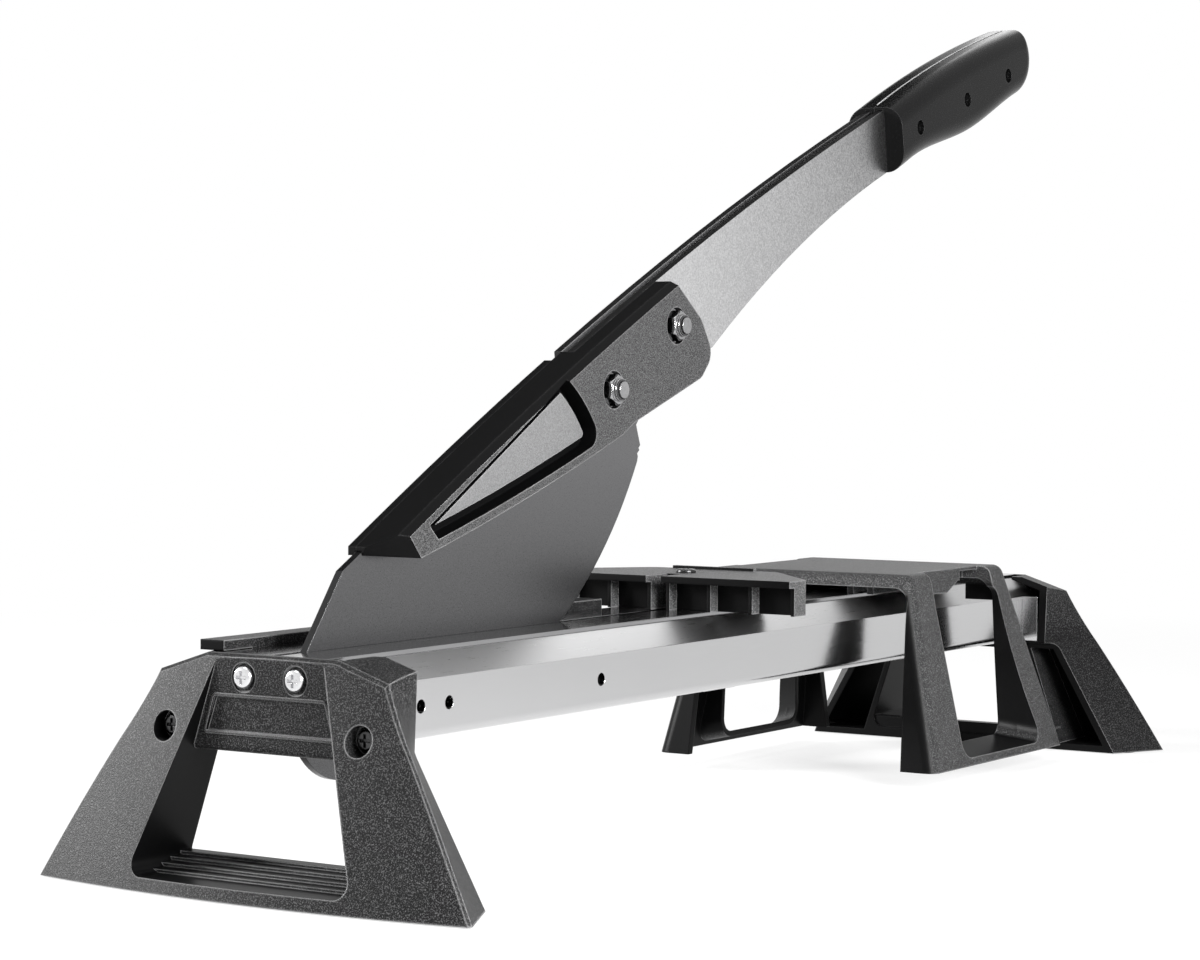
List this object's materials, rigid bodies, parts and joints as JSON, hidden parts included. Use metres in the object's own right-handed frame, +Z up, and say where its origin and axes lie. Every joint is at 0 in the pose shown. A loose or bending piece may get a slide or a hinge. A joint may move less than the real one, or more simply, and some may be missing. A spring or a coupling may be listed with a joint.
{
  "type": "laminate flooring cutter",
  "caption": "Bench guillotine for laminate planks: hinged blade lever with a handle, slotted rail bed, cross fence, end feet with carrying windows and a sliding support bridge.",
  "frame": {"origin": "on the floor under the middle of the whole length, on the blade's plane", "axes": "+X from the pivot end to the handle end, +Z up, -Y the side with the lever's nuts"},
  "size_m": [0.7272, 0.2286, 0.4229],
  "materials": {
    "black_plastic": "grained satin",
    "handle_plastic": "satin gloss",
    "pad_rubber": "matt",
    "rail_aluminium": "satin anodised",
    "strip_steel": "brushed",
    "blade_steel": "dark ground",
    "arm_steel": "satin",
    "fastener_steel": "zinc plated"
  },
  "bodies": {
    "base": {"front_foot": "black_plastic", "rear_foot": "black_plastic", "foot_pads": "pad_rubber", "rail_near": "rail_aluminium", "rail_far": "rail_aluminium", "bed_strip_near": "strip_steel", "bed_strip_far": "strip_steel", "far_ledge": "black_plastic", "front_panel_screws": "fastener_steel", "rear_panel_screws": "fastener_steel", "leg_screws": "fastener_steel", "rail_clamps": "rail_aluminium", "rail_spacers": "rail_aluminium", "pivot_bolt": "fastener_steel", "pivot_nut": "fastener_steel", "thrust_washers": "fastener_steel", "fence": "black_plastic", "fence_screw": "fastener_steel", "fence_clamp_plate": "fastener_steel"},
    "lever": {"blade": "blade_steel", "arm_plate_near": "arm_steel", "arm_plate_far": "arm_steel", "spine_cover_near": "black_plastic", "spine_cover_far": "black_plastic", "cover_screws": "fastener_steel", "arm_bolts": "fastener_steel", "arm_nuts": "fastener_steel", "handle_half_near": "handle_plastic", "handle_half_far": "handle_plastic", "handle_screws": "fastener_steel"},
    "bridge": {"support_bridge": "black_plastic"}
  },
  "joints": [
    {"name": "lever_pivot", "type": "hinge", "parent": "base", "child": "lever", "pos_m": [-0.28833, 0, 0.0774], "axis": [0, 1, 0], "range_deg": [-40, 19]},
    {"name": "bridge_slide", "type": "slide", "parent": "base", "child": "bridge", "axis": [1, 0, 0], "range_m": [-0.07, 0.025]}
  ]
}
